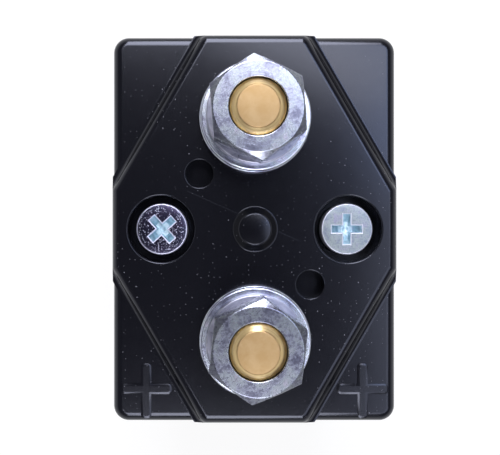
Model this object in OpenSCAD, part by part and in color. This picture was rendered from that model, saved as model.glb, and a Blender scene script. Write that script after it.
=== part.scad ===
// Single-pole direct-current contactor with two stud terminals.
// The origin is the middle of the underside, +Z points to the terminals,
// and the terminals lie in a line along Y.

/* [Cover] */
// Width of the cover, across the line of the terminals
cover_x = 44; // [43:0.5:48]
// Length of the cover, along the line of the terminals
cover_y = 60; // [58:0.5:66]
// Height of the cover, from its rim to the raised pad
cover_h = 21.2; // [20.6:0.2:26]
// Radius of the cover's upright corners
cover_corner_r = 2.4; // [1.8:0.1:3]
// Radius of the rounded top edges
edge_r = 1.5; // [0.8:0.1:1.7]
// Thickness of the roof above the contact chamber
roof_t = 5.5; // [5:0.1:6]
// Thickness of the end walls
end_wall_t = 2.2; // [1.6:0.1:3]
// Thickness of the wall outside each magnet slot
outer_wall_t = 1.5; // [1:0.1:2]
// Thickness of the wall between a magnet slot and the chamber
inner_wall_t = 1.5; // [1:0.1:2]

/* [Raised pad] */
// Height of the pad above the four corner ears
pad_step = 1.66; // [0.8:0.02:2.4]
// Length of the pad's flat at each end of the cover
pad_end_x = 16.2; // [12:0.2:20]
// Length of the pad's flat at each side of the cover
pad_side_y = 11.8; // [8:0.2:16]
// Radius of the pad's upright corners
pad_corner_r = 1.9; // [1.8:0.1:3]

/* [Centre boss] */
// Radius where the boss meets the pad
boss_foot_r = 3.5; // [3.2:0.1:4]
// Radius of the boss's domed top
boss_top_r = 2.4; // [1.8:0.1:2.8]
// Height of the boss above the pad
boss_h = 1.5; // [1:0.1:2]

/* [Auxiliary holes] */
// Diameter of the two blind holes
aux_d = 4.3; // [3:0.1:4.5]
// Plastic left between a blind hole and the recesses of the stud heads
aux_floor = 0.8; // [0.4:0.1:2]
// Distance of each hole from both centre lines
aux_offset = 8.5; // [8:0.1:9]

/* [Polarity marks] */
// Length of each bar of a plus mark
mark_l = 7.3; // [5:0.1:8]
// Width of each bar of a plus mark
mark_w = 1.25; // [0.8:0.05:1.6]
// Height of the marks above the ears
mark_h = 0.3; // [0.1:0.05:0.6]
// Distance of a mark's centre from the cover's two nearest edges
mark_inset = 5.2; // [4.8:0.1:6]

/* [Cover screws] */
// Distance between the two cover screws
screw_pitch = 28.7; // [28:0.1:29.5]
// Thread diameter of the cover screws
screw_d = 4; // [3:0.5:4]
// Length of thread held in the top plate
screw_bite = 2.4; // [1.6:0.1:3.2]
// Diameter of the screw heads
screw_head_d = 8; // [7:0.1:8.5]
// Height of the screw heads
screw_head_h = 3; // [2.4:0.1:3.2]
// Radius of the heads' rounded rims
screw_rim_r = 0.5; // [0.2:0.1:1]
// Depth of the head tops under the pad
screw_drop = 1.4; // [1:0.1:1.8]
// Diameter of the recesses round the heads
counterbore_d = 10.3; // [9:0.1:11]
// Length of the cross recess
cross_l = 4.9; // [3:0.1:5.2]
// Width of the cross recess
cross_w = 1.3; // [0.8:0.1:1.6]
// Depth of the cross recess
cross_depth = 1.9; // [1:0.1:2.2]
// Diameter of the spring washers under the heads
screw_washer_d = 7.6; // [7:0.1:8]
// Thickness of the spring washers under the heads
screw_washer_t = 1; // [0.7:0.1:1.2]

/* [Terminals] */
// Distance between the two studs
stud_pitch = 34; // [33:0.5:35]
// Thread diameter of the studs
stud_d = 8; // [6:0.5:8]
// Height of the stud end above its nut
stud_proud = 0.3; // [0.1:0.1:2]
// Diameter of the flat disc at the stud end
stud_flat_d = 5.9; // [4:0.1:5.9]
// Side of the square stud heads in the chamber
head_side = 15; // [12:0.5:15]
// Thickness of the stud heads
head_t = 3; // [2.5:0.1:3.5]
// Depth of the heads' recesses in the roof
head_recess = 1.5; // [1:0.1:2]
// Diameter of the flat washers
washer_d = 17; // [15:0.5:17]
// Thickness of each flat washer
washer_t = 1.6; // [1.2:0.1:2]
// Diameter of the spring washers
spring_washer_d = 14.7; // [13:0.1:15]
// Thickness of the spring washers
spring_washer_t = 2; // [1.5:0.1:2.2]
// Width of the nuts across their flats
nut_af = 13; // [12:0.5:14]
// Height of the nuts
nut_h = 6.5; // [5:0.1:8]
// Diameter of the nuts' flat end faces
nut_face_d = 12.6; // [12:0.1:13]

/* [Contacts] */
// Diameter of the contact tips
tip_d = 9; // [7:0.5:11]
// Thickness of the contact tips
tip_t = 1.5; // [1:0.1:1.8]
// Gap between the tips with the contactor open
contact_gap = 2.5; // [2:0.1:2.8]
// Extra travel of the carrier after the tips meet
overtravel = 1; // [0.6:0.1:1.2]
// Width of the contact bridge
bridge_w = 12; // [11:0.5:12.5]
// Thickness of the contact bridge
bridge_t = 2; // [1.5:0.1:2.5]
// Length of bridge beyond each tip
bridge_end = 0.5; // [0:0.1:2]

/* [Carrier and rod] */
// Side of the carrier's square hub
hub_side = 6; // [5:0.1:6]
// Diameter of the carrier's flange
carrier_d = 11.8; // [11:0.1:12.2]
// Thickness of the carrier's flange
carrier_t = 1.5; // [1:0.1:2]
// Height of the carrier above the top plate
carrier_lift = 0.6; // [0.3:0.1:1]
// Diameter of the push rod
rod_d = 4; // [3.6:0.1:5]
// Diameter of the rod's neck inside the carrier
rod_neck_d = 3; // [2:0.1:3.2]
// Diameter of the washer that holds the bridge down
seat_d = 10; // [9:0.1:11]
// Thickness of that washer
seat_t = 1; // [0.8:0.1:1.2]
// Outer diameter of the rod's clip
clip_d = 6; // [5:0.1:6.2]
// Thickness of the rod's clip
clip_t = 0.6; // [0.4:0.1:0.8]
// Depth of the clip's groove in the rod
groove_depth = 0.4; // [0.2:0.05:0.5]
// Length of rod above the clip
rod_tail = 1; // [0.5:0.1:1.2]

/* [Springs] */
// Mean diameter of the return spring
return_mean_d = 7.2; // [7.1:0.1:7.6]
// Wire diameter of the return spring
return_wire = 0.8; // [0.5:0.05:0.8]
// Turns of the return spring
return_turns = 5; // [3:0.5:5]
// Depth of the return spring's pocket in the roof
spring_pocket = 3.5; // [2.5:0.1:3.8]
// Mean diameter of the contact spring
contact_mean_d = 9.8; // [9.7:0.1:10.4]
// Wire diameter of the contact spring
contact_wire = 0.9; // [0.6:0.05:0.9]
// Turns of the contact spring
contact_turns = 3; // [2:0.5:3]

/* [Magnets] */
// Length of the blowout magnets along the cover
magnet_y = 12; // [9:0.5:14]
// Height of the blowout magnets
magnet_z = 13.5; // [10:0.5:14]
// Thickness of the blowout magnets
magnet_t = 2; // [1.5:0.1:2.2]
// Thickness of the steel keepers behind them
keeper_t = 0.8; // [0.5:0.1:1]

/* [Frame] */
// Width of the yoke strip
strip_w = 38; // [37:0.5:40]
// Thickness of the yoke strip
strip_t = 3; // [2.5:0.1:3.5]
// Radius inside the yoke's bends
bend_r = 1.2; // [0.5:0.1:1.5]
// Free height inside the frame
coil_space_h = 31; // [28:0.5:36]
// Thickness of the top plate
plate_t = 4; // [3:0.1:5]
// Width of the tongue at the top of each leg
tongue_w = 16; // [10:0.5:20]
// Distance between the two mounting holes
base_pitch = 42; // [41.5:0.5:43]
// Tapping diameter of the mounting holes
base_hole_d = 4.2; // [3.3:0.1:4.5]
// Thickness of the gasket under the cover
gasket_t = 0.8; // [0.5:0.1:1.2]
// Thickness of the chamber floor
floor_t = 2; // [1.5:0.1:2.4]
// Height of the floor's two guide posts
guide_h = 10; // [8:0.5:11]
// Thickness of the guide posts
guide_t = 1.6; // [1:0.1:1.8]
// Length of the guide posts along the bridge
guide_y = 6; // [4:0.5:8]

/* [Coil] */
// Outer diameter of the winding
winding_d = 35; // [32:0.5:35.5]
// Thickness of the tape wrap
wrap_t = 0.5; // [0.3:0.05:0.5]
// Wall of the bobbin's barrel round the flux bush
barrel_wall = 1.13; // [0.8:0.01:2]
// Thickness of the bobbin's flanges
flange_t = 1.5; // [1:0.1:2]
// Corner radius of the bobbin's flanges
flange_corner_r = 4; // [1:0.5:6]
// Thickness of the soft washer above the bobbin
coil_washer_t = 0.6; // [0.3:0.1:1.2]
// Width of the coil tabs
tab_w = 6.3; // [4.8:0.1:6.5]
// Thickness of the coil tabs
tab_t = 0.8; // [0.5:0.1:0.8]
// Length of a tab below its ledge
tab_l = 8.5; // [6:0.5:11]
// Length of a tab held in its ledge
tab_root = 3; // [2:0.1:3.5]
// Diameter of the hole in each tab
tab_hole_d = 1.7; // [1:0.1:2]
// Distance between the two tabs
tab_pitch = 18; // [16:0.5:20]
// Diameter of the coil's lead wires
lead_d = 0.8; // [0.5:0.1:1]

/* [Plunger] */
// Inner diameter of the guide tube
tube_id = 14.4; // [13.6:0.1:14.6]
// Wall of the guide tube
tube_wall = 0.8; // [0.5:0.05:0.8]
// Length of the fixed core below the top plate
core_l = 14; // [10:0.5:16]
// Diameter of the core's neck in the top plate
core_neck_d = 10; // [8:0.5:12]
// Wall of the flux bush
bush_wall = 1.2; // [0.8:0.05:1.2]
// Height of the flux bush
bush_h = 9; // [6:0.5:12]
// Thickness of the rubber buffer
buffer_t = 1; // [0.5:0.1:2]
// Diameter of the rubber buffer
buffer_d = 13; // [10:0.5:13.5]
// Thickness of the pole shim
shim_t = 0.2; // [0.1:0.05:0.4]
// Thickness of plunger left under the rod
plunger_floor = 2; // [1:0.5:4]
// Chamfer on the plunger's and core's edges
pole_chamfer = 0.5; // [0.2:0.1:1]

/* [Hidden] */

$fn = 64;
// Facets of shapes that a hull rounds
hull_fn = 24;

// Clearances between pieces
over = 0.5;          // cuts run past a face by this much
press_gap = 0.02;    // a pressed or threaded fit, on the radius
slip_gap = 0.05;     // a piece dropped into its seat, each side
run_gap = 0.08;      // a sliding fit, on the radius
guide_gap = 0.4;     // the bridge between its guide posts, each side
flange_gap = 0.5;    // the carrier's flange in the floor's hole
stop_gap = 0.05;     // the plunger short of the core when pulled in
rim_inset = 0.4;     // frame and gasket inside the cover's outline
side_gap = 0.2;      // the bobbin between the frame's bends, each side
tab_gap = 1.4;       // coil tab clear of the wrap
ledge_gap = 0.3;     // tab ledge clear of the wrap
screw_play = 0.25;   // cover screws in their columns, on the radius
stud_clear = 0.1;    // studs in the roof, on the radius
bolt_play = 1.1;     // mounting bolts in the bobbin's flange, on the radius
spring_play = 0.2;   // return spring in its pocket, on the radius
spring_seat_gap = 0.02; // a spring's end off its seat

// Walls and small radii
column_skin = 2.35;  // wall of the screw columns
column_wall = 1.2;   // wall round the screw heads' recesses
column_neck = 1.6;   // height of the wider top of the columns
chamber_corner_r = 1.5;
ledge_wall = 0.9;    // wall round the coil tabs in their ledge
crown_cut = 0.02;    // height that the flat takes off a dome's crown

// Fixed turns of the hardware, as it was left when tightened
nut_turn_negative = 94.7;
nut_turn_positive = 83.4;
cross_turn_left = 42;
cross_turn_right = 0;
washer_slit_turn = 30;

// Heights, from the underside up
frame_top = strip_t + coil_space_h;
plate_top = frame_top + plate_t;
rim_z = plate_top + gasket_t;
cover_top = rim_z + cover_h;
ear_top = cover_top - pad_step;
chamber_top = cover_top - roof_t;
floor_top = plate_top + floor_t;
head_top = chamber_top + head_recess;
aux_z = head_top + aux_floor;
head_low = head_top - head_t;
fixed_face = head_low - tip_t;
moving_face = fixed_face - contact_gap;
bridge_top = moving_face - tip_t;
bridge_low = bridge_top - bridge_t;
shoulder_z = plate_top + carrier_lift;
carrier_top = shoulder_z + carrier_t;
seat_low = bridge_top + slip_gap;
seat_top = seat_low + seat_t;
clip_top = seat_top + clip_t;
rod_top = clip_top + rod_tail;
spring_roof = chamber_top + spring_pocket;
stack_1 = cover_top + washer_t;
stack_2 = stack_1 + washer_t;
nut_low = stack_2 + spring_washer_t;
nut_top = nut_low + nut_h;
stud_top = nut_top + stud_proud;
screw_head_top = cover_top - screw_drop;
screw_head_low = screw_head_top - screw_head_h;
counterbore_z = screw_head_low - screw_washer_t;
screw_end = plate_top - screw_bite;

// Plunger and core
stroke = contact_gap + overtravel;
tube_ir = tube_id / 2;
tube_or = tube_ir + tube_wall;
bush_or = tube_or + press_gap + bush_wall;
barrel_r = bush_or + slip_gap + barrel_wall;
plunger_r = tube_ir - run_gap;
core_r = tube_ir - slip_gap;
core_low = frame_top - core_l;
plunger_low = strip_t + buffer_t;
plunger_top = core_low - stroke - shim_t - stop_gap;
rod_low = plunger_low + plunger_floor;

// Plan sizes
frame_y = cover_y - 2 * rim_inset;
plate_x = cover_x - 2 * rim_inset;
slot_t = magnet_t + keeper_t + 2 * slip_gap;
chamber_x = cover_x - 2 * (outer_wall_t + slot_t + inner_wall_t);
chamber_y = cover_y - 2 * end_wall_t;
screw_x = screw_pitch / 2;
screw_clear_r = screw_d / 2 + screw_play;
column_r = screw_clear_r + column_skin;
leg_in_y = frame_y / 2 - strip_t;
bobbin_low = strip_t;
bobbin_top = frame_top - coil_washer_t;
wind_low = bobbin_low + flange_t;
wind_top = bobbin_top - flange_t;
wrap_r = winding_d / 2 + wrap_t;
relief_r = base_hole_d / 2 + bolt_play;
tab_x = wrap_r + tab_gap + tab_t / 2;
ledge_in_x = wrap_r + ledge_gap;
ledge_out_x = tab_x + tab_t / 2 + ledge_wall;
ledge_h = tab_root + ledge_wall;
ledge_low = bobbin_top - ledge_h;
ledge_y = tab_pitch + tab_w + 2 * ledge_wall;
lead_z = ledge_low - lead_d;
lead_y = tab_pitch / 2 - tab_w / 4;

// A prism with rounded upright corners, standing on z = 0
module round_box(x, y, h, r) {
    linear_extrude(height = h) {
        square([x - 2 * r, y], center = true);
        square([x, y - 2 * r], center = true);
        for (sx = [-1, 1], sy = [-1, 1])
            translate([sx * (x / 2 - r), sy * (y / 2 - r)]) circle(r = r);
    }
}

// A flat disc with a rounded upper rim, standing on z = 0
module soft_disc(r, h, rim_r) {
    rotate_extrude() {
        square([r, h - rim_r]);
        square([r - rim_r, h]);
        translate([r - rim_r, h - rim_r]) circle(r = rim_r);
    }
}

// A shallow dome with a small flat on its crown, standing on z = 0
module dome(rim_r, h) {
    ball_r = (rim_r * rim_r + h * h) / (2 * h);
    rotate_extrude()
        intersection() {
            square([rim_r, h - crown_cut]);
            translate([0, h - ball_r]) circle(r = ball_r);
        }
}

// A post whose top edge is rounded, as a corner for a hull
module soft_post(r, h) {
    cylinder(r = r, h = h - edge_r, $fn = hull_fn);
    translate([0, 0, h - edge_r])
        rotate_extrude($fn = hull_fn)
            translate([r - edge_r, 0])
                intersection() {
                    circle(r = edge_r, $fn = hull_fn);
                    translate([-(r - edge_r), 0]) square([r, edge_r]);
                }
}

// A round coil of wire between two heights, as one closed tube
module coil_spring(mean_d, wire, turns, z_low, z_high) {
    sides = 6;
    steps = 16;
    rings = floor(turns * steps);
    low = z_low + spring_seat_gap + wire / 2;
    rise = z_high - spring_seat_gap - wire / 2 - low;
    ring_points = [
        for (i = [0 : rings], j = [0 : sides - 1])
            let (
                t = 360 * turns * i / rings,
                a = 360 * j / sides,
                r = mean_d / 2 + wire / 2 * cos(a)
            )
            [r * cos(t), r * sin(t), low + rise * i / rings + wire / 2 * sin(a)]
    ];
    walls = [
        for (i = [0 : rings - 1], j = [0 : sides - 1])
            let (k = (j + 1) % sides, p = i * sides, q = p + sides)
            each [[p + j, q + j, q + k], [p + j, q + k, p + k]]
    ];
    start_cap = [for (j = [1 : sides - 2]) [0, j, j + 1]];
    end_cap = [for (j = [1 : sides - 2]) let (e = rings * sides) [e, e + j + 1, e + j]];
    echo(str("Least gap between turns ", rise / turns - wire, " mm"));
    polyhedron(points = ring_points, faces = concat(walls, start_cap, end_cap));
}

// Places its children at both studs
module at_studs() {
    for (s = [-1, 1]) translate([0, s * stud_pitch / 2, 0]) children();
}

// Places its children at both cover screws
module at_screws() {
    for (s = [-1, 1]) translate([s * screw_x, 0, 0]) children();
}

// Places its children at the four magnet slots, on the side away from the middle
module at_magnets() {
    for (sx = [-1, 1], sy = [-1, 1])
        mirror([sx < 0 ? 1 : 0, 0, 0]) translate([0, sy * stud_pitch / 2, 0]) children();
}

module raised_pad() {
    px = cover_x / 2;
    py = cover_y / 2;
    r = pad_corner_r;
    hull() {
        for (sx = [-1, 1], sy = [-1, 1]) {
            translate([sx * (pad_end_x / 2 - r / 2), sy * (py - r), rim_z]) soft_post(r, cover_h);
            translate([sx * (px - r), sy * (pad_side_y / 2 - r / 2), rim_z]) soft_post(r, cover_h);
        }
    }
}

module cover_block() {
    cx = cover_x / 2 - cover_corner_r;
    cy = cover_y / 2 - cover_corner_r;
    hull() {
        for (sx = [-1, 1], sy = [-1, 1])
            translate([sx * cx, sy * cy, rim_z]) soft_post(cover_corner_r, ear_top - rim_z);
    }
}

// The boss, a dome on a foot that sweeps into the pad
module centre_boss() {
    sweep = boss_foot_r - boss_top_r;
    dome_h = boss_h / 2;
    translate([0, 0, cover_top - over]) cylinder(r = boss_top_r, h = over + boss_h - dome_h);
    translate([0, 0, cover_top])
        rotate_extrude()
            difference() {
                square([boss_foot_r, sweep]);
                translate([boss_foot_r, sweep]) circle(r = sweep);
            }
    translate([0, 0, cover_top + boss_h - dome_h]) dome(boss_top_r, dome_h);
}

module plus_mark() {
    for (turn = [0, 90])
        rotate([0, 0, turn]) {
            straight = mark_l - mark_w;
            translate([-straight / 2, -mark_w / 2, 0]) cube([straight, mark_w, mark_h + over]);
            for (s = [-1, 1])
                translate([s * straight / 2, 0, 0]) cylinder(d = mark_w, h = mark_h + over);
        }
}

module screw_columns() {
    at_screws() {
        translate([0, 0, floor_top]) cylinder(r = column_r, h = chamber_top - floor_top + over);
        translate([0, 0, chamber_top - column_neck])
            cylinder(r = counterbore_d / 2 + column_wall, h = column_neck + over);
    }
}

module cover() {
    color("#16171b")
    difference() {
        union() {
            difference() {
                union() {
                    cover_block();
                    raised_pad();
                    centre_boss();
                    for (s = [-1, 1])
                        translate([
                            s * (cover_x / 2 - mark_inset),
                            -(cover_y / 2 - mark_inset),
                            ear_top - over
                        ]) plus_mark();
                }
                translate([0, 0, rim_z - over])
                    round_box(chamber_x, chamber_y, chamber_top - rim_z + over, chamber_corner_r);
            }
            screw_columns();
        }
        at_studs() {
            translate([0, 0, chamber_top - over])
                cylinder(r = stud_d / 2 + stud_clear, h = roof_t + 2 * over);
            side = head_side + 2 * slip_gap;
            translate([-side / 2, -side / 2, chamber_top - over])
                cube([side, side, head_recess + over]);
        }
        at_screws() {
            translate([0, 0, counterbore_z])
                cylinder(d = counterbore_d, h = cover_top - counterbore_z + over);
            translate([0, 0, rim_z - over])
                cylinder(r = screw_clear_r, h = cover_top - rim_z);
        }
        for (s = [-1, 1])
            translate([-s * aux_offset, s * aux_offset, aux_z])
                cylinder(d = aux_d, h = cover_top - aux_z + over);
        translate([0, 0, chamber_top - over])
            cylinder(r = (return_mean_d + return_wire) / 2 + spring_play, h = spring_pocket + over);
        at_magnets()
            translate([chamber_x / 2 + inner_wall_t, -magnet_y / 2 - slip_gap, rim_z - over])
                cube([slot_t, magnet_y + 2 * slip_gap, magnet_z + 2 * slip_gap + over]);
    }
}

module cover_gasket() {
    color("#202226")
    translate([0, 0, plate_top])
    difference() {
        round_box(cover_x - 2 * rim_inset, cover_y - 2 * rim_inset, gasket_t, cover_corner_r);
        translate([0, 0, -over])
            round_box(chamber_x, chamber_y, gasket_t + 2 * over, chamber_corner_r);
        at_screws() translate([0, 0, -over]) cylinder(r = screw_clear_r, h = gasket_t + 2 * over);
    }
}

module cover_screws() {
    color("#b9bcc2")
    for (s = [-1, 1])
        translate([s * screw_x, 0, 0])
        difference() {
            union() {
                translate([0, 0, screw_end]) cylinder(d = screw_d, h = screw_head_low - screw_end + over);
                translate([0, 0, screw_head_low]) soft_disc(screw_head_d / 2, screw_head_h, screw_rim_r);
            }
            rotate([0, 0, s < 0 ? cross_turn_left : cross_turn_right]) cross_recess();
        }
}

module cross_recess() {
    for (turn = [0, 90])
        rotate([0, 0, turn])
            translate([-cross_l / 2, -cross_w / 2, screw_head_top - cross_depth])
                cube([cross_l, cross_w, cross_depth + over]);
    translate([0, 0, screw_head_top - cross_depth]) cylinder(r = cross_w, h = cross_depth + over);
}

// A flat ring cut by a slit, as a spring washer is
module split_ring(outer_d, inner_d, t, slit_turn) {
    slit_w = t / 2;
    difference() {
        cylinder(d = outer_d, h = t);
        translate([0, 0, -over]) cylinder(d = inner_d, h = t + 2 * over);
        rotate([0, 0, slit_turn])
            translate([0, -slit_w / 2, -over]) cube([outer_d, slit_w, t + 2 * over]);
    }
}

module cover_screw_washers() {
    color("#aab0b8")
    at_screws()
        translate([0, 0, counterbore_z])
            split_ring(screw_washer_d, screw_d + 2 * slip_gap, screw_washer_t, washer_slit_turn);
}

// A stud with its square head, from the head's underside up
module terminal_stud() {
    chamfer = (stud_d - stud_flat_d) / 2;
    translate([-head_side / 2, -head_side / 2, head_low]) cube([head_side, head_side, head_t]);
    translate([0, 0, head_low]) cylinder(d = stud_d, h = stud_top - head_low - chamfer);
    translate([0, 0, stud_top - chamfer]) cylinder(d1 = stud_d, d2 = stud_flat_d, h = chamfer);
}

module terminal_stud_negative() {
    color("#c9a566") translate([0, stud_pitch / 2, 0]) terminal_stud();
}

module terminal_stud_positive() {
    color("#c9a566") translate([0, -stud_pitch / 2, 0]) terminal_stud();
}

module fixed_contact_tips() {
    color("#d3d3d0") at_studs() translate([0, 0, fixed_face]) cylinder(d = tip_d, h = tip_t);
}

// A flat washer, standing on z = 0
module flat_washer() {
    difference() {
        cylinder(d = washer_d, h = washer_t);
        translate([0, 0, -over]) cylinder(r = stud_d / 2 + 2 * stud_clear, h = washer_t + 2 * over);
    }
}

module terminal_lower_washers() {
    color("#a8a9b4") at_studs() translate([0, 0, cover_top]) flat_washer();
}

module terminal_upper_washers() {
    color("#a8a9b4") at_studs() translate([0, 0, stack_1]) flat_washer();
}

module terminal_spring_washers() {
    color("#8d8f98")
    at_studs()
        translate([0, 0, stack_2])
            split_ring(spring_washer_d, stud_d + 2 * stud_clear, spring_washer_t, washer_slit_turn);
}

// A hexagon nut with both end faces chamfered, its first corner along +X
module hex_nut() {
    across_corners = nut_af / cos(30);
    drop = (across_corners - nut_face_d) / 2 * tan(30);
    difference() {
        intersection() {
            cylinder(d = across_corners, h = nut_h, $fn = 6);
            union() {
                cylinder(d1 = nut_face_d, d2 = across_corners, h = drop);
                translate([0, 0, drop]) cylinder(d = across_corners, h = nut_h - 2 * drop);
                translate([0, 0, nut_h - drop])
                    cylinder(d1 = across_corners, d2 = nut_face_d, h = drop);
            }
        }
        translate([0, 0, -over]) cylinder(r = stud_d / 2 + press_gap, h = nut_h + 2 * over);
    }
}

module terminal_nuts() {
    color("#9ea0ad")
    for (s = [-1, 1])
        translate([0, s * stud_pitch / 2, nut_low])
            rotate([0, 0, s > 0 ? nut_turn_negative : nut_turn_positive]) hex_nut();
}

module blowout_magnets() {
    color("#3c3d40")
    at_magnets()
        translate([chamber_x / 2 + inner_wall_t + slip_gap, -magnet_y / 2, rim_z + slip_gap])
            cube([magnet_t, magnet_y, magnet_z]);
}

module magnet_keepers() {
    color("#8f9296")
    at_magnets()
        translate([
            chamber_x / 2 + inner_wall_t + slip_gap + magnet_t,
            -magnet_y / 2,
            rim_z + slip_gap
        ]) cube([keeper_t, magnet_y, magnet_z]);
}

module chamber_floor() {
    hole_r = carrier_d / 2 + flange_gap;
    post_x = bridge_w / 2 + guide_gap;
    color("#3a322c")
    difference() {
        union() {
            translate([0, 0, plate_top])
                round_box(chamber_x - 2 * slip_gap, chamber_y - 2 * slip_gap, floor_t, chamber_corner_r);
            for (s = [-1, 1])
                translate([
                    s > 0 ? post_x : -post_x - guide_t,
                    -guide_y / 2,
                    plate_top
                ]) cube([guide_t, guide_y, floor_t + guide_h]);
        }
        translate([0, 0, plate_top - over]) cylinder(r = hole_r, h = floor_t + 2 * over);
        at_screws()
            translate([0, 0, plate_top - over]) cylinder(r = screw_clear_r, h = floor_t + 2 * over);
    }
}

module return_spring() {
    color("#b4b7bb") coil_spring(return_mean_d, return_wire, return_turns, seat_top, spring_roof);
}

module top_plate() {
    notch_y = strip_t + slip_gap;
    color("#b8ab72")
    difference() {
        translate([0, 0, frame_top]) round_box(plate_x, frame_y, plate_t, cover_corner_r);
        translate([0, 0, frame_top - over])
            cylinder(r = core_neck_d / 2 + press_gap, h = plate_t + 2 * over);
        at_screws()
            translate([0, 0, frame_top - over])
                cylinder(r = screw_d / 2 + press_gap, h = plate_t + 2 * over);
        for (s = [-1, 1])
            translate([
                -tongue_w / 2 - slip_gap,
                s > 0 ? frame_y / 2 - notch_y : -frame_y / 2 - over,
                frame_top - over
            ]) cube([tongue_w + 2 * slip_gap, notch_y + over, plate_t + 2 * over]);
    }
}

// A box outline whose two lower corners are rounded, standing on y = 0
module round_foot(w, h, r) {
    translate([-w / 2, r]) square([w, h - r]);
    translate([-w / 2 + r, 0]) square([w - 2 * r, r]);
    for (s = [-1, 1]) translate([s * (w / 2 - r), r]) circle(r = r);
}

module yoke_frame() {
    color("#b8ab72")
    difference() {
        rotate([90, 0, 90])
            linear_extrude(height = strip_w, center = true)
                difference() {
                    round_foot(frame_y, plate_top, bend_r + strip_t);
                    translate([0, strip_t]) round_foot(2 * leg_in_y, plate_top, bend_r);
                }
        for (s = [-1, 1])
            translate([s > 0 ? tongue_w / 2 : -strip_w / 2 - over, -frame_y, frame_top])
                cube([(strip_w - tongue_w) / 2 + over, 2 * frame_y, plate_t + over]);
        for (s = [-1, 1])
            translate([0, s * base_pitch / 2, -over]) cylinder(d = base_hole_d, h = strip_t + 2 * over);
    }
}

module coil_bobbin() {
    flange_y = 2 * (leg_in_y - bend_r - side_gap);
    color("#ded8c4")
    difference() {
        union() {
            for (z = [bobbin_low, wind_top])
                translate([0, 0, z]) round_box(strip_w, flange_y, flange_t, flange_corner_r);
            translate([0, 0, bobbin_low]) cylinder(r = barrel_r, h = bobbin_top - bobbin_low);
            translate([0, -ledge_y / 2, wind_top]) cube([ledge_out_x, ledge_y, flange_t]);
            translate([ledge_in_x, -ledge_y / 2, ledge_low])
                cube([ledge_out_x - ledge_in_x, ledge_y, ledge_h]);
        }
        translate([0, 0, bobbin_low - over])
            cylinder(r = tube_or + run_gap, h = bobbin_top - bobbin_low + 2 * over);
        translate([0, 0, bobbin_low - over]) cylinder(r = bush_or + slip_gap, h = bush_h + slip_gap + over);
        for (s = [-1, 1]) {
            translate([0, s * base_pitch / 2, bobbin_low - over]) cylinder(r = relief_r, h = flange_t + 2 * over);
            translate([
                tab_x - tab_t / 2 - slip_gap,
                s * tab_pitch / 2 - tab_w / 2 - slip_gap,
                ledge_low - over
            ]) cube([tab_t + 2 * slip_gap, tab_w + 2 * slip_gap, tab_root + slip_gap + over]);
        }
    }
}

module coil_winding() {
    color("#a8562c")
    translate([0, 0, wind_low + slip_gap])
    difference() {
        cylinder(d = winding_d, h = wind_top - wind_low - 2 * slip_gap);
        translate([0, 0, -over]) cylinder(r = barrel_r + press_gap, h = wind_top - wind_low + 2 * over);
    }
}

module coil_wrap() {
    color("#1d1d20")
    difference() {
        translate([0, 0, wind_low + slip_gap]) cylinder(r = wrap_r, h = wind_top - wind_low - 2 * slip_gap);
        translate([0, 0, wind_low - over])
            cylinder(r = winding_d / 2 + press_gap, h = wind_top - wind_low + 2 * over);
        for (s = [-1, 1])
            translate([0, s * lead_y, lead_z])
                rotate([0, 90, 0]) cylinder(r = lead_d / 2 + press_gap, h = wrap_r + over);
    }
}

module coil_tabs() {
    half = tab_w / 2;
    nose = tab_w / 4;
    color("#cfd0d2")
    for (s = [-1, 1])
        translate([tab_x, s * tab_pitch / 2, ledge_low])
            rotate([90, 0, 90])
                linear_extrude(height = tab_t, center = true)
                    difference() {
                        polygon([
                            [-half, tab_root], [-half, nose - tab_l], [-nose, -tab_l],
                            [nose, -tab_l], [half, nose - tab_l], [half, tab_root],
                        ]);
                        translate([0, -tab_l / 2]) circle(d = tab_hole_d);
                    }
}

module coil_leads() {
    wrap_mid_r = winding_d / 2 + wrap_t / 2;
    start_x = sqrt(wrap_mid_r * wrap_mid_r - lead_y * lead_y);
    color("#8e4a26")
    for (s = [-1, 1])
        translate([start_x, s * lead_y, lead_z])
            rotate([0, 90, 0]) cylinder(d = lead_d, h = tab_x - tab_t / 2 - start_x);
}

module coil_washer() {
    color("#55585c")
    translate([0, 0, bobbin_top])
    difference() {
        cylinder(d = winding_d, h = coil_washer_t);
        translate([0, 0, -over]) cylinder(r = tube_or + slip_gap, h = coil_washer_t + 2 * over);
    }
}

module guide_tube() {
    color("#c8a860")
    translate([0, 0, strip_t])
    difference() {
        cylinder(r = tube_or, h = coil_space_h);
        translate([0, 0, -over]) cylinder(r = tube_ir, h = coil_space_h + 2 * over);
    }
}

module flux_bush() {
    color("#9a9da2")
    translate([0, 0, strip_t])
    difference() {
        cylinder(r = bush_or, h = bush_h);
        translate([0, 0, -over]) cylinder(r = tube_or + press_gap, h = bush_h + 2 * over);
    }
}

module fixed_core() {
    color("#93969c")
    difference() {
        union() {
            translate([0, 0, core_low]) cylinder(r1 = core_r - pole_chamfer, r2 = core_r, h = pole_chamfer);
            translate([0, 0, core_low + pole_chamfer]) cylinder(r = core_r, h = core_l - pole_chamfer);
            translate([0, 0, core_low + pole_chamfer])
                cylinder(d = core_neck_d, h = core_l - pole_chamfer + plate_t);
        }
        translate([0, 0, core_low - over])
            cylinder(r = rod_d / 2 + run_gap, h = core_l + plate_t + 2 * over);
    }
}

module bottom_buffer() {
    color("#26282a") translate([0, 0, strip_t]) cylinder(d = buffer_d, h = buffer_t);
}

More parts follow.
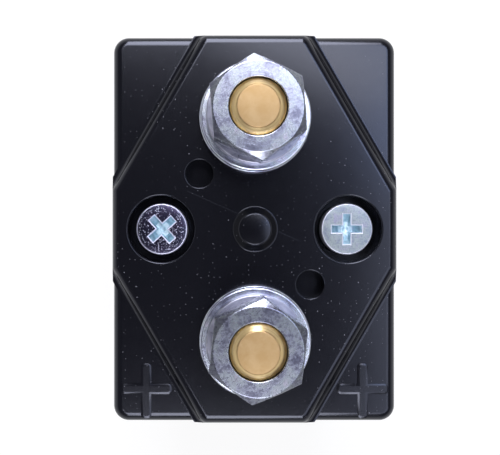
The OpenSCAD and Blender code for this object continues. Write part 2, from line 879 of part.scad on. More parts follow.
module plunger() {
    color("#a4a7ac")
    difference() {
        union() {
            translate([0, 0, plunger_low])
                cylinder(r1 = plunger_r - pole_chamfer, r2 = plunger_r, h = pole_chamfer);
            translate([0, 0, plunger_low + pole_chamfer])
                cylinder(r = plunger_r, h = plunger_top - plunger_low - 2 * pole_chamfer);
            translate([0, 0, plunger_top - pole_chamfer])
                cylinder(r1 = plunger_r, r2 = plunger_r - pole_chamfer, h = pole_chamfer);
        }
        translate([0, 0, rod_low]) cylinder(r = rod_d / 2 + press_gap, h = plunger_top - rod_low + over);
    }
}

module pole_shim() {
    color("#c98f58")
    translate([0, 0, plunger_top])
    difference() {
        cylinder(r = plunger_r - pole_chamfer, h = shim_t);
        translate([0, 0, -over]) cylinder(r = rod_d / 2 + slip_gap, h = shim_t + 2 * over);
    }
}

module push_rod() {
    color("#c4c7cb")
    difference() {
        union() {
            translate([0, 0, rod_low]) cylinder(d = rod_d, h = shoulder_z - rod_low);
            translate([0, 0, rod_low]) cylinder(d = rod_neck_d, h = rod_top - rod_low);
        }
        translate([0, 0, seat_top])
        difference() {
            cylinder(d = rod_neck_d + 2 * over, h = clip_t);
            translate([0, 0, -over]) cylinder(r = rod_neck_d / 2 - groove_depth, h = clip_t + 2 * over);
        }
    }
}

module contact_carrier() {
    color("#e6e1d2")
    difference() {
        union() {
            translate([0, 0, shoulder_z]) cylinder(d = carrier_d, h = carrier_t);
            translate([-hub_side / 2, -hub_side / 2, shoulder_z])
                cube([hub_side, hub_side, seat_low - shoulder_z]);
        }
        translate([0, 0, shoulder_z - over])
            cylinder(r = rod_neck_d / 2 + slip_gap, h = seat_low - shoulder_z + 2 * over);
    }
}

module contact_spring() {
    color("#b4b7bb") coil_spring(contact_mean_d, contact_wire, contact_turns, carrier_top, bridge_low);
}

module spring_seat() {
    color("#e6e1d2")
    translate([0, 0, seat_low])
    difference() {
        cylinder(d = seat_d, h = seat_t);
        translate([0, 0, -over]) cylinder(r = rod_neck_d / 2 + slip_gap, h = seat_t + 2 * over);
    }
}

module rod_clip() {
    groove_r = rod_neck_d / 2 - groove_depth;
    color("#6e7176")
    translate([0, 0, seat_top])
    difference() {
        cylinder(d = clip_d, h = clip_t - slip_gap);
        translate([0, 0, -over]) cylinder(r = groove_r + press_gap, h = clip_t + 2 * over);
        translate([0, -groove_r, -over]) cube([clip_d, 2 * groove_r, clip_t + 2 * over]);
    }
}

module contact_bridge() {
    length = stud_pitch + tip_d + 2 * bridge_end;
    hole = hub_side + 2 * run_gap;
    color("#b56f45")
    translate([0, 0, bridge_low])
    difference() {
        round_box(bridge_w, length, bridge_t, bridge_w / 4);
        translate([-hole / 2, -hole / 2, -over]) cube([hole, hole, bridge_t + 2 * over]);
    }
}

module moving_contact_tips() {
    color("#d3d3d0") at_studs() translate([0, 0, bridge_top]) cylinder(d = tip_d, h = tip_t);
}

cover();
cover_gasket();
cover_screws();
cover_screw_washers();
terminal_stud_negative();
terminal_stud_positive();
fixed_contact_tips();
terminal_lower_washers();
terminal_upper_washers();
terminal_spring_washers();
terminal_nuts();
blowout_magnets();
magnet_keepers();
chamber_floor();
return_spring();
top_plate();
yoke_frame();
coil_bobbin();
coil_winding();
coil_wrap();
coil_tabs();
coil_leads();
coil_washer();
guide_tube();
flux_bush();
fixed_core();
bottom_buffer();
plunger();
pole_shim();
push_rod();
contact_carrier();
contact_spring();
spring_seat();
rod_clip();
contact_bridge();
moving_contact_tips();
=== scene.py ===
"""Looks of a stud-terminal direct-current contactor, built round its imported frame."""

import math

import bmesh
import bpy
from mathutils import Matrix, Vector


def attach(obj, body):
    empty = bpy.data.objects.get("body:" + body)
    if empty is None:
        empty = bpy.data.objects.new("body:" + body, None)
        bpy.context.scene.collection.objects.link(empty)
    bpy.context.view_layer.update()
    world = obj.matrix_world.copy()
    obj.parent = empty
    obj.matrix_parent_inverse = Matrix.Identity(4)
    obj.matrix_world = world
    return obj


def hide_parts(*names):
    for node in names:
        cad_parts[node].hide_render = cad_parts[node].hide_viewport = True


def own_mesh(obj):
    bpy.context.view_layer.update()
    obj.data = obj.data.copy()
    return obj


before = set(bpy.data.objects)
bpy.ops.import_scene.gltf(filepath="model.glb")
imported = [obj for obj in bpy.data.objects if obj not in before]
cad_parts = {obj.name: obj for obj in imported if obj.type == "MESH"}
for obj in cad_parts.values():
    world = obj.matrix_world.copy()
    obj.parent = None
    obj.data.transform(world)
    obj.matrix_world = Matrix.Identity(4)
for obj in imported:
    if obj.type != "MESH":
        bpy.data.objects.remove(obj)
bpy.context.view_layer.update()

MM = 0.001     # shapes are drawn in millimetres and scaled to metres
FINE = 1e-4    # two points closer than this are one, in millimetres
SKIN = 0.004   # keeps faces of two joined shapes from lying in one plane
PAST = 1.0     # how far a cutting tool runs past the face that it cuts

# The cover's outside; every height is measured from the underside of the frame
COVER_X, COVER_Y = 44.0, 60.0
RIM_Z, EAR_TOP, COVER_TOP = 38.8, 58.34, 60.0
CORNER_R, EDGE_R = 2.4, 1.5
PAD_END_X, PAD_SIDE_Y, PAD_CORNER_R = 8.1, 5.9, 1.9
PAD_COVE_R = 1.2
PAD_END_TURN, PAD_SIDE_TURN = 60, 30    # turns of the pad's outline at its corners, in degrees
MARK_X, MARK_Y = 16.8, -24.8

# Where the screws, the studs and the blind holes stand, from the middle
SCREW_X, STUD_Y, AUX = 14.35, 17.0, 8.5

# Holes in the cover
BORE_R, BORE_FLOOR, BORE_LIP = 5.15, 54.6, 0.22
AUX_R, AUX_FLOOR, AUX_LIP = 2.15, 56.8, 0.16
SCREW_HOLE_R, STUD_HOLE_R = 2.25, 4.1

# Rooms inside the cover
CHAMBER_X, CHAMBER_Y, CHAMBER_TOP, CHAMBER_CORNER_R = 32.2, 55.6, 54.5, 1.5
COLUMN_R, COLUMN_FOOT_H, COLUMN_NECK_R, COLUMN_NECK_H = 4.6, 2.0, 6.35, 1.6
ROOF_TOOL_LOW = 54.0
POCKET_R, POCKET_TOP = 4.2, 58.0
HEAD_RECESS_SIDE, HEAD_RECESS_TOP = 15.1, 56.0
MAGNET_SLOT_SIZES, MAGNET_SLOT_X, MAGNET_SLOT_Z = (2.9, 12.1, 15.6), 19.05, 44.6

# Levels of the screws and of the terminal hardware
SCREW_TOP = 58.6
WASHER_TOPS = (61.6, 63.2)
NUT_LOW, NUT_TOP, STUD_TOP = 65.2, 71.7, 72.0

LAMP_HEIGHT = 0.66    # of every lamp panel, in metres


# Mesh helpers, all in millimetres

def arc(centre, radius, start, end, count):
    """Points of an arc in the (radius, height) plane, from one angle to another in degrees."""
    steps = [math.radians(start + (end - start) * i / count) for i in range(count + 1)]
    return [(centre[0] + radius * math.cos(a), centre[1] + radius * math.sin(a)) for a in steps]


def level_edges(bm, height):
    """The edges that lie flat at a height."""
    return [e for e in bm.edges if all(abs(v.co.z - height) < FINE for v in e.verts)]


def upright_edges(bm):
    """The edges that stand straight up."""
    return [e for e in bm.edges if (e.verts[0].co.xy - e.verts[1].co.xy).length < FINE]


def round_over(bm, edges, radius, segments):
    """Rounds edges to a radius."""
    bmesh.ops.bevel(
        bm, geom=edges, offset=radius, offset_type="OFFSET", segments=segments,
        profile=0.5, affect="EDGES", material=-1, clamp_overlap=False,
    )


def tidy(bm):
    """Merges doubles and turns every face outwards."""
    bmesh.ops.remove_doubles(bm, verts=bm.verts, dist=FINE)
    bmesh.ops.recalc_face_normals(bm, faces=bm.faces)
    return bm


def moved(bm, x=0.0, y=0.0, z=0.0, turn=0.0):
    """Turns a shape about its upright axis, then moves it."""
    if turn:
        bmesh.ops.rotate(bm, verts=bm.verts, matrix=Matrix.Rotation(math.radians(turn), 3, "Z"))
    bmesh.ops.translate(bm, verts=bm.verts, vec=(x, y, z))
    return bm


def box(size, centre):
    """A box of three sizes round a centre."""
    bm = bmesh.new()
    place = Matrix.Translation(centre) @ Matrix.Diagonal((*size, 1))
    bmesh.ops.create_cube(bm, size=1, matrix=place)
    return bm


def block(x, y, low, top, corner_r, edge_r, segments=10):
    """A box with rounded upright corners and rounded top edges."""
    bm = box((x, y, top - low), (0, 0, (low + top) / 2))
    round_over(bm, upright_edges(bm), corner_r, segments)
    if edge_r:
        round_over(bm, level_edges(bm, top), edge_r, segments)
    return tidy(bm)


def turned(profile, steps=72, ring=False):
    """A turned body from its (radius, height) outline; a ring's outline closes on itself."""
    bm = bmesh.new()
    points = [bm.verts.new((r, 0, z)) for r, z in profile]
    following = points[1:] + points[:1] if ring else points[1:]
    edges = [bm.edges.new(pair) for pair in zip(points, following)]
    bmesh.ops.spin(
        bm, geom=points + edges, cent=(0, 0, 0), axis=(0, 0, 1), dvec=(0, 0, 0),
        angle=math.tau, steps=steps, use_merge=True, use_duplicate=False,
    )
    return tidy(bm)


def plug(radius, low, top):
    """A plain round tool from one height to another, to cut a hole."""
    return turned([(0, low), (radius, low), (radius, top), (0, top)])


def wound(section, turns, steps_a_turn, rise):
    """A section carried round the upright axis while it rises, with closed ends."""
    bm = bmesh.new()
    points = [bm.verts.new((r, 0, z)) for r, z in section]
    edges = [bm.edges.new(pair) for pair in zip(points, points[1:] + points[:1])]
    steps = round(turns * steps_a_turn)
    bmesh.ops.spin(
        bm, geom=points + edges, cent=(0, 0, 0), axis=(0, 0, 1), dvec=(0, 0, rise / steps),
        angle=math.tau * turns, steps=steps, use_merge=False, use_duplicate=False,
    )
    ends = [e for e in bm.edges if e.is_boundary]
    bmesh.ops.holes_fill(bm, edges=ends)
    return tidy(bm)


def combined(base, other, operation):
    """Joins two closed shapes, cuts the second from the first, or keeps what they share."""
    blanks = []
    for bm in (base, other):
        mesh = bpy.data.meshes.new("blank")
        bm.to_mesh(mesh)
        bm.free()
        blank = bpy.data.objects.new("blank", mesh)
        bpy.context.scene.collection.objects.link(blank)
        blanks.append(blank)
    cut = blanks[0].modifiers.new("cut", "BOOLEAN")
    cut.operation, cut.object, cut.solver = operation, blanks[1], "EXACT"
    result = bmesh.new()
    result.from_object(blanks[0], bpy.context.evaluated_depsgraph_get())
    for blank in blanks:
        bpy.data.meshes.remove(blank.data)
    bmesh.ops.remove_doubles(result, verts=result.verts, dist=FINE)
    return result


def less(base, *tools):
    """Cuts each tool from the base."""
    for tool in tools:
        base = combined(base, tool, "DIFFERENCE")
    return base


def plus(base, *more):
    """Joins each further shape to the base."""
    for shape in more:
        base = combined(base, shape, "UNION")
    return base


def flat_faces_whole(bm):
    """Clears the edges that lie in flat faces."""
    bmesh.ops.dissolve_limit(
        bm, angle_limit=math.radians(0.5), verts=bm.verts, edges=bm.edges, delimit=set()
    )
    return bm


def highest_face(bm):
    """The face whose middle is highest."""
    return max(bm.faces, key=lambda face: face.calc_center_median().z)


def copied(node):
    """The mesh of a CAD node as one merged shape in millimetres, flat faces whole."""
    bm = bmesh.new()
    bm.from_mesh(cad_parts[node].data)
    bmesh.ops.scale(bm, vec=(1 / MM,) * 3, verts=bm.verts)
    bmesh.ops.remove_doubles(bm, verts=bm.verts, dist=FINE)
    return flat_faces_whole(bm)


def piece(name, bm, paint, nodes, body="housing", crease=32.0, edge=0.0):
    """A finished piece: scaled, shaded, softly edged, painted, and riding on its body."""
    bmesh.ops.scale(bm, vec=(MM,) * 3, verts=bm.verts)
    mesh = bpy.data.meshes.new(name)
    bm.to_mesh(mesh)
    bm.free()
    mesh.shade_smooth()
    mesh.set_sharp_from_angle(angle=math.radians(crease))
    mesh.materials.append(paint)
    made = bpy.data.objects.new(name, mesh)
    bpy.context.scene.collection.objects.link(made)
    if edge:
        soft = made.modifiers.new("edges", "BEVEL")
        soft.width, soft.segments = edge * MM, 2
        soft.limit_method, soft.angle_limit = "ANGLE", math.radians(crease - 6)
        soft.use_clamp_overlap = True
    level = made.modifiers.new("normals", "WEIGHTED_NORMAL")
    level.keep_sharp = True
    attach(made, body)
    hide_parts(*nodes)
    return made


# Materials

class Field:
    """A value that varies over a surface, with arithmetic made of Math nodes."""

    def __init__(self, nodes, socket):
        self.nodes, self.socket = nodes, socket

    def math(self, operation, *others):
        """A Math node on this value and any others."""
        return self.nodes.add("Math", {"operation": operation}, dict(enumerate((self, *others))))

    def __add__(self, other):
        return self.math("ADD", other)

    __radd__ = __add__

    def __mul__(self, other):
        return self.math("MULTIPLY", other)

    __rmul__ = __mul__

    def __sub__(self, other):
        return self.math("SUBTRACT", other)

    def __rsub__(self, other):
        return self.nodes.add("Math", {"operation": "SUBTRACT"}, {0: other, 1: self})

    def __truediv__(self, other):
        return self.math("DIVIDE", other)

    def __rtruediv__(self, other):
        return self.nodes.add("Math", {"operation": "DIVIDE"}, {0: other, 1: self})

    def size(self):
        """Its distance from zero."""
        return self.math("ABSOLUTE")

    def step(self, low, high):
        """0 below low, 1 above high, and smooth between; falls instead if high is below low."""
        settings = {"interpolation_type": "SMOOTHSTEP"}
        return self.nodes.add(
            "MapRange", settings, {"Value": self, "From Min": low, "From Max": high}
        )


class Nodes:
    """The node tree of a material or the world."""

    def __init__(self, tree):
        self.tree = tree

    def add(self, kind, settings=None, inputs=None, output=0):
        """A node of a kind, with its settings and the values or links of its sockets."""
        node = self.tree.nodes.new("ShaderNode" + kind)
        for name, value in (settings or {}).items():
            if name == "stops":
                self.set_stops(node.color_ramp, value)
            else:
                setattr(node, name, value)
        for name, value in (inputs or {}).items():
            self.feed(node.inputs[name], value)
        return Field(self, node.outputs[output])

    def set_stops(self, ramp, stops):
        """Gives a ramp its places and colours."""
        while len(ramp.elements) < len(stops):
            ramp.elements.new(0.5)
        for element, (place, colour) in zip(ramp.elements, stops):
            element.position, element.color = place, (*colour, 1)

    def feed(self, socket, value):
        """Links a value to a socket, or sets the socket to a number or colour."""
        if isinstance(value, Field):
            self.tree.links.new(value.socket, socket)
        elif hasattr(value, "__len__") and len(value) == 3 and socket.type == "RGBA":
            socket.default_value = (*value, 1)
        else:
            socket.default_value = value

    def place(self, centre=(0, 0, 0), scale=(1, 1, 1)):
        """Object coordinates in millimetres from a centre, stretched by a scale."""
        at = self.add("TexCoord", output="Object")
        inputs = {
            "Location": [-c * s for c, s in zip(centre, scale)],
            "Scale": [s / MM for s in scale],
        }
        return self.add("Mapping", {"vector_type": "POINT"}, {"Vector": at, **inputs})

    def axes(self, at):
        """The three numbers of a place."""
        split = self.add("SeparateXYZ", None, {0: at})
        return [Field(self, socket) for socket in split.socket.node.outputs]

    def noise(self, at, spots, detail=3.0, roughness=0.55, distortion=0.0):
        """Noise from 0 to 1, with so many spots to the millimetre."""
        inputs = {
            "Vector": at, "Scale": spots, "Detail": detail,
            "Roughness": roughness, "Distortion": distortion,
        }
        return self.add("TexNoise", None, inputs, "Fac")

    def cells(self, at, count, output="Distance"):
        """Cells in plan, so many to the millimetre."""
        return self.add(
            "TexVoronoi", {"voronoi_dimensions": "2D"}, {"Vector": at, "Scale": count}, output
        )

    def blend(self, share, low, high):
        """A colour between two colours."""
        return self.add("Mix", {"data_type": "RGBA"}, {0: share, 6: low, 7: high}, 2)

    def ramp(self, value, *stops):
        """A colour from a value."""
        return self.add("ValToRGB", {"stops": stops}, {0: value})


class Paint(Nodes):
    """A named finish on a Principled shader."""

    def __init__(self, name, **fixed):
        self.material = bpy.data.materials.new(name)
        self.material.use_nodes = True
        super().__init__(self.material.node_tree)
        self.shader = self.tree.nodes["Principled BSDF"]
        self.set(**fixed)

    def set(self, **values):
        """Sets sockets by name, such as base_color or roughness."""
        for name, value in values.items():
            self.feed(self.shader.inputs[self.title(name)], value)
        return self

    def title(self, name):
        """The shader's own name for a socket."""
        known = {"ior": "IOR", "specular": "Specular IOR Level"}
        return known.get(name, name.replace("_", " ").title())

    def relief(self, height, depth):
        """Bump from a height of 0 to 1 that stands for a depth in millimetres."""
        bump = self.add("Bump", None, {"Height": height, "Distance": depth * MM, "Strength": 1.0})
        self.set(normal=bump)
        return self


def black_moulding():
    """The cover's thermoset: near black, satin to glossy, with dust and one flow line."""
    paint = Paint("black_moulding", metallic=0.0, ior=1.5, specular_tint=(0.82, 0.86, 1.0))
    at = paint.place()
    x, y, z = paint.axes(at)
    peel = paint.noise(at, 0.55, 2.0)
    grain = paint.noise(at, 3.2, 3.0)
    flat = z.step(EAR_TOP - 0.04, EAR_TOP - 0.01)
    dust = 0
    for count, low, high, share in ((0.50, 0.044, 0.026, 0.76), (1.15, 0.070, 0.040, 0.78)):
        lone = paint.axes(paint.cells(at, count, "Color"))[0].step(share, share + 0.02)
        faint = paint.axes(paint.cells(at, count, "Color"))[1] * 0.8 + 0.2
        dust = paint.cells(at, count).step(low, high) * lone * faint + dust
    drift = paint.noise(at, 0.09, 2.0).step(0.38, 0.62) * 0.85 + 0.15
    dust = dust * flat * drift
    # The flow line crosses the pad from its upper left to the right of the boss
    slope_x, slope_y = 0.406, 0.914
    across = x * slope_x + y * slope_y - 1.1
    along = x * slope_y - y * slope_x
    off_boss = (x * x + y * y).step(12.0, 13.5)
    on_pad = z.step(COVER_TOP - 0.10, COVER_TOP - 0.05)
    line = across.size().step(0.09, 0.0) * along.step(-12.4, -11.4) * along.step(7.6, 6.2)
    line = line * off_boss * on_pad
    base = paint.blend(dust, (0.0036, 0.0036, 0.0050), (0.20, 0.20, 0.22))
    # The marks are a little duller than the ears
    off_pad = (x.size() * 0.866 + y.size() * 0.50).step(23.2, 23.4)
    on_mark = off_pad * z.step(EAR_TOP + 0.03, EAR_TOP + 0.11)
    gloss = peel * 0.03 + grain * 0.03 + dust * 0.3 + line * 0.1 + 0.14
    paint.set(base_color=base, roughness=gloss + on_mark * 0.05)
    return paint.relief(peel * 0.75 + grain * 0.22 + line * 0.6, 0.0035).material


def zinc_plate(name, centre, tone, rough, mottle, rings=0.0):
    """Clear zinc plate: a blue and lavender cast in patches, fine pits and, if asked, rings."""
    paint = Paint(name, metallic=1.0)
    at = paint.place(centre)
    x, y = paint.axes(at)[:2]
    patches = paint.noise(at, 0.42, 4.0, 0.6, 0.2)
    pits = paint.noise(at, 2.4, 4.0, 0.65)
    radius = (x * x + y * y).math("SQRT")
    ringed = (radius * 9.0 + paint.noise(at, 0.5) * 3.0).math("SINE") * 0.5 + 0.5
    tint = paint.ramp(
        patches,
        (0.30, (0.40 * tone, 0.42 * tone, 0.56 * tone)),
        (0.46, (0.60 * tone, 0.63 * tone, 0.77 * tone)),
        (0.58, (0.62 * tone, 0.68 * tone, 0.74 * tone)),
        (0.72, (0.70 * tone, 0.66 * tone, 0.80 * tone)),
    )
    dark = (pits * 0.6 + patches * 0.4).step(0.52, 0.40)
    tint = paint.blend(dark * mottle, tint, (0.20 * tone, 0.19 * tone, 0.29 * tone))
    paint.set(base_color=tint, roughness=pits * 0.12 + patches * 0.08 + (rough - 0.10))
    return paint.relief(pits * 0.5 + ringed * rings, 0.0016).material


def screw_face(name, centre, dark):
    """A cover screw's plate: pale and pitted on one, dark and scratched on the other."""
    paint = Paint(name, metallic=1.0)
    at = paint.place(centre)
    x, y, z = paint.axes(at)
    radius = (x * x + y * y).math("SQRT")
    patches = paint.noise(at, 0.8, 4.0, 0.6, 0.8)
    pits = paint.noise(at, 4.2, 4.0, 0.7)
    below = z.step(SCREW_TOP - 0.001, SCREW_TOP - 0.005)
    in_cross = radius.step(3.3, 3.1) * z.step(SCREW_TOP - 2.6, SCREW_TOP - 2.4)
    inside = z.step(SCREW_TOP - 0.14, SCREW_TOP - 0.17) * in_cross
    lip = below * in_cross * (1 - inside)
    well = paint.ramp(
        patches, (0.35, (0.34, 0.46, 0.54)), (0.55, (0.56, 0.72, 0.78)), (0.7, (0.72, 0.76, 0.86))
    )
    if dark:
        lone = paint.axes(paint.cells(at, 2.4, "Color"))
        specks = paint.cells(at, 2.4).step(0.20, 0.08) * lone[0].step(0.50, 0.55) * lone[1]
        small = paint.axes(paint.cells(at, 3.9, "Color"))
        specks = specks + paint.cells(at, 3.9).step(0.30, 0.12) * small[0].step(0.66, 0.70) * small[1]
        worn = paint.noise(at, 0.42, 1.0)
        arcs = ((radius * 12.0).math("SINE") - 0.85).step(0.0, 0.15) * worn.step(0.56, 0.62)
        slant = (x * 2.6 + y * 1.5 + patches * 3.0).math("FRACT").step(0.10, 0.0)
        slant = slant * (x - y * 0.9).step(1.6, 2.6) * pits.step(0.50, 0.60)
        marks = (slant * 0.8 + arcs * 0.3 + specks * 0.9).math("MINIMUM", 1.0)
        plain = paint.ramp(patches, (0.32, (0.036, 0.041, 0.075)), (0.62, (0.072, 0.060, 0.108)))
        base = paint.blend(marks, plain, (0.80, 0.81, 0.94))
        painted_highlight, gloss = (0.78, 0.78, 0.92), marks * 0.40 + below * 0.2 + 0.27
    else:
        marks = pits.step(0.52, 0.36)
        plain = paint.ramp(
            patches, (0.30, (0.17, 0.19, 0.26)), (0.5, (0.27, 0.31, 0.30)), (0.7, (0.25, 0.235, 0.33))
        )
        base = paint.blend(marks * 0.65, plain, (0.13, 0.14, 0.19))
        painted_highlight, gloss = (0.74, 0.76, 0.84), pits * 0.2 + below * 0.1 + 0.34
    # Below its top face the head is painted lighter, a painted highlight on its rounded rim and round
    # the mouth of its cross; deeper in, the cross is a paler blue-grey
    base = paint.blend(below, base, painted_highlight)
    paint.set(base_color=paint.blend(inside, base, well), roughness=gloss + lip * 0.1)
    paint.set(metallic=1 - lip * 0.7)
    return paint.relief(pits, 0.0002 if dark else 0.0012).material


def stud_brass(name, centre):
    """Dull brass, matt and sanded on the end face, cleaner on the turned chamfer."""
    paint = Paint(name, metallic=1.0)
    at = paint.place(centre)
    x, y = paint.axes(at)[:2]
    radius = (x * x + y * y).math("SQRT")
    clouds = paint.noise(at, 0.6, 4.0, 0.6, 0.4)
    fine = paint.noise(at, 6.0, 3.0, 0.6)
    end = radius.step(3.02, 2.90)
    face = paint.ramp(clouds, (0.35, (0.345, 0.228, 0.104)), (0.65, (0.394, 0.275, 0.139)))
    side = paint.ramp(clouds, (0.35, (0.72, 0.53, 0.25)), (0.65, (0.84, 0.65, 0.34)))
    base = paint.blend(end, side, face)
    # Two turned lines are darker: one round the end face, one on the chamfer
    lines = (radius - 3.02).size().step(0.11, 0.03) + (radius - 3.40).size().step(0.08, 0.02) * 0.5
    base = paint.blend(lines * clouds.step(0.34, 0.58) * 0.75, base, (0.36, 0.19, 0.085))
    paint.set(base_color=base, roughness=end * 0.22 + fine * 0.04 + clouds * 0.06 + 0.24)
    ringed = (radius * 22.0).math("SINE") * 0.5 + 0.5
    return paint.relief(fine * 0.2 + ringed * (1 - end) * 0.5, 0.002).material


def metal(name, low, high, rough, spots=1.2, depth=0.006, stretch=(1, 1, 1)):
    """A plated or bare metal whose tone and gloss wander between two shades."""
    paint = Paint(name, metallic=1.0)
    at = paint.place((0, 0, 0), stretch)
    clouds = paint.noise(at, spots * 0.3, 4.0, 0.6, 0.5)
    fine = paint.noise(at, spots * 3, 3.0, 0.6)
    paint.set(base_color=paint.ramp(clouds, (0.35, low), (0.65, high)))
    paint.set(roughness=clouds * 0.12 + fine * 0.08 + (rough - 0.1))
    return paint.relief(fine, depth).material


def chromate_plate():
    """Yellow chromated zinc: straw, with faint green and pink bands."""
    paint = Paint("chromate_plate", metallic=1.0)
    at = paint.place()
    drift = paint.noise(at, 0.06, 3.0, 0.5, 0.25)
    fine = paint.noise(at, 2.2, 3.0, 0.6)
    tint = paint.ramp(
        drift,
        (0.32, (0.61, 0.53, 0.27)), (0.45, (0.67, 0.56, 0.29)),
        (0.55, (0.66, 0.52, 0.31)), (0.68, (0.58, 0.54, 0.30)),
    )
    paint.set(base_color=tint, roughness=drift * 0.12 + fine * 0.14 + 0.22)
    return paint.relief(fine, 0.008).material


def dull(name, low, high, rough, spots=1.0, depth=0.02):
    """A moulded, pressed or rubber surface, between two shades."""
    paint = Paint(name, metallic=0.0, ior=1.48)
    at = paint.place()
    clouds = paint.noise(at, spots * 0.25, 3.0, 0.55)
    fine = paint.noise(at, spots * 3.0, 4.0, 0.6)
    paint.set(base_color=paint.ramp(clouds, (0.35, low), (0.65, high)))
    paint.set(roughness=fine * 0.15 + (rough - 0.07))
    return paint.relief(fine, depth).material


def coil_tape():
    """Black polyester tape, wound in slow turns whose edges show as fine steps."""
    paint = Paint("coil_tape", metallic=0.0, ior=1.52)
    at = paint.place()
    x, y, z = paint.axes(at)
    turn = y.math("ARCTAN2", x) / math.tau
    lap = (z / 9.0 + turn).math("FRACT")
    edge = lap.step(0.0, 0.03) * lap.step(1.0, 0.985)
    creases = paint.noise(paint.place((0, 0, 0), (1, 1, 0.3)), 0.5, 3.0, 0.6)
    tint = paint.ramp(creases, (0.3, (0.008, 0.009, 0.012)), (0.7, (0.018, 0.019, 0.024)))
    paint.set(base_color=tint)
    paint.set(roughness=creases * 0.16 + 0.24)
    return paint.relief(edge * 0.7 + creases * 0.5 + lap * 0.3, 0.05).material


def enamel_wire():
    """Turns of enamelled copper wire, seen as fine ridges, with painted shade in the grooves and a
    painted highlight on each crest.
    """
    paint = Paint("enamel_wire", metallic=1.0)
    z = paint.axes(paint.place())[2]
    ridge = (z * (math.tau / 0.3)).math("SINE") * 0.5 + 0.5
    # The colour follows the ridges: darker in the grooves between turns and lighter on the crests, as
    # painted shade and painted highlight
    paint.set(base_color=paint.ramp(ridge, (0.0, (0.14, 0.05, 0.02)), (1.0, (0.50, 0.20, 0.08))))
    paint.set(roughness=ridge * 0.1 + 0.25)
    return paint.relief(ridge, 0.06).material


# The cover

def pad_lines(offset):
    """The pad's eight corners, with every side moved outwards by an offset."""
    slope = Vector((COVER_Y / 2 - PAD_SIDE_Y, COVER_X / 2 - PAD_END_X)).normalized()
    reach = slope.dot(Vector((PAD_END_X, COVER_Y / 2)))
    corners = []
    for a, b in ((1, 1), (1, -1), (-1, -1), (-1, 1)):
        ends = (Vector((0, b)), COVER_Y / 2 + offset)
        side = (Vector((a, 0)), COVER_X / 2 + offset)
        slant = (Vector((a * slope.x, b * slope.y)), reach + offset)
        pair = [crossing(ends, slant), crossing(slant, side)]
        corners += pair if a * b > 0 else pair[::-1]
    return corners


def crossing(first, second):
    """The point where two lines meet, each given by its normal and distance."""
    (n, d), (m, e) = first, second
    both = n.x * m.y - n.y * m.x
    return ((d * m.y - e * n.y) / both, (e * n.x - d * m.x) / both)


def raised_pad():
    """The pad, whose slanted sides sweep down to the ears in a convex and a hollow curve."""
    fall = 1 - (COVER_TOP - EAR_TOP) / (EDGE_R + PAD_COVE_R)
    bend = math.degrees(math.acos(fall))
    flare = PAD_COVE_R * math.sin(math.radians(bend))
    inner = EDGE_R * math.sin(math.radians(bend))
    hollow = arc((flare, EAR_TOP + PAD_COVE_R), PAD_COVE_R, -90, -90 - bend, 7)
    crown = arc((-inner, COVER_TOP - EDGE_R), EDGE_R, 90 - bend, 90, 9)
    profile = hollow + crown[1:]
    root, limit_root = 6, 5
    bm = bmesh.new()
    outline = [bm.verts.new((x, y, EAR_TOP - root)) for x, y in pad_lines(flare)]
    bottom = bm.faces.new(outline)
    bottom.normal_update()
    if bottom.normal.z < 0:
        bottom.normal_flip()
    raised = bmesh.ops.extrude_face_region(bm, geom=[bottom])["geom"]
    top = next(g for g in raised if isinstance(g, bmesh.types.BMFace))
    bmesh.ops.translate(bm, verts=top.verts, vec=(0, 0, root))
    corner_r = PAD_CORNER_R + flare
    for turn, at_end, segments in ((PAD_END_TURN, True, 10), (PAD_SIDE_TURN, False, 6)):
        corners = [
            e for e in upright_edges(bm) if (abs(e.verts[0].co.y) > COVER_Y / 3) == at_end
        ]
        round_over(bm, corners, corner_r * math.tan(math.radians(turn / 2)), segments)
    top = highest_face(bm)
    for (u, z), (next_u, next_z) in zip(profile, profile[1:]):
        bmesh.ops.inset_individual(
            bm, faces=[top], thickness=u - next_u, depth=next_z - z, use_even_offset=True
        )
    tidy(bm)
    limit = block(
        COVER_X - SKIN, COVER_Y - SKIN, EAR_TOP - limit_root, COVER_TOP + SKIN,
        CORNER_R, EDGE_R, 12,
    )
    return combined(bm, limit, "INTERSECT")


def plus_mark(side):
    """A raised plus on an ear, its top falling softly to its edges."""
    length, width, height, corner_r, root = 7.9, 1.6, 0.18, 0.6, 1.2
    run_out = 0.6    # the upright bar goes this much further, onto the rounded edge
    bars = []
    for sizes, shift in (((length, width), 0), ((width, length + run_out), -run_out / 2)):
        bar = box((*sizes, height + root), (0, shift, EAR_TOP + (height - root) / 2))
        round_over(bar, upright_edges(bar), corner_r, 6)
        bars.append(tidy(bar))
    mark = flat_faces_whole(plus(*bars))
    top = highest_face(mark)
    for across, rise in ((0.24, 0.07), (0.14, 0.015)):
        bmesh.ops.inset_region(
            mark, faces=[top], thickness=across, depth=rise, use_even_offset=True,
            use_boundary=True,
        )
    return moved(tidy(mark), side * MARK_X, MARK_Y)


def centre_boss():
    """A low button on a steep skirt, its crown a little domed."""
    # Radius and height above the pad
    skirt = [(0, -PAST), (3.51, -PAST), (3.51, 0.0), *arc((3.53, 0.30), 0.30, -95, -146, 6)]
    crown = arc((2.20, 0.90), 0.45, 34, 87, 9)
    dome = [(r, 1.477 - r * r / 38) for r in (2.0, 1.5, 1.0, 0.5, 0.0)]
    return turned([(r, z + COVER_TOP) for r, z in skirt + crown + dome])


def lipped_bore(radius, floor, lip, under=()):
    """A tool for a round hole whose mouth is a little rounded; under gives what lies deeper."""
    over = COVER_TOP + 2 * PAST
    mouth = arc((radius + lip, COVER_TOP - lip), lip, 180, 90, 5)
    outline = [*under, (radius, floor), *mouth, (radius + lip, over), (0, over)]
    return turned(outline if under else [(0, floor), *outline])


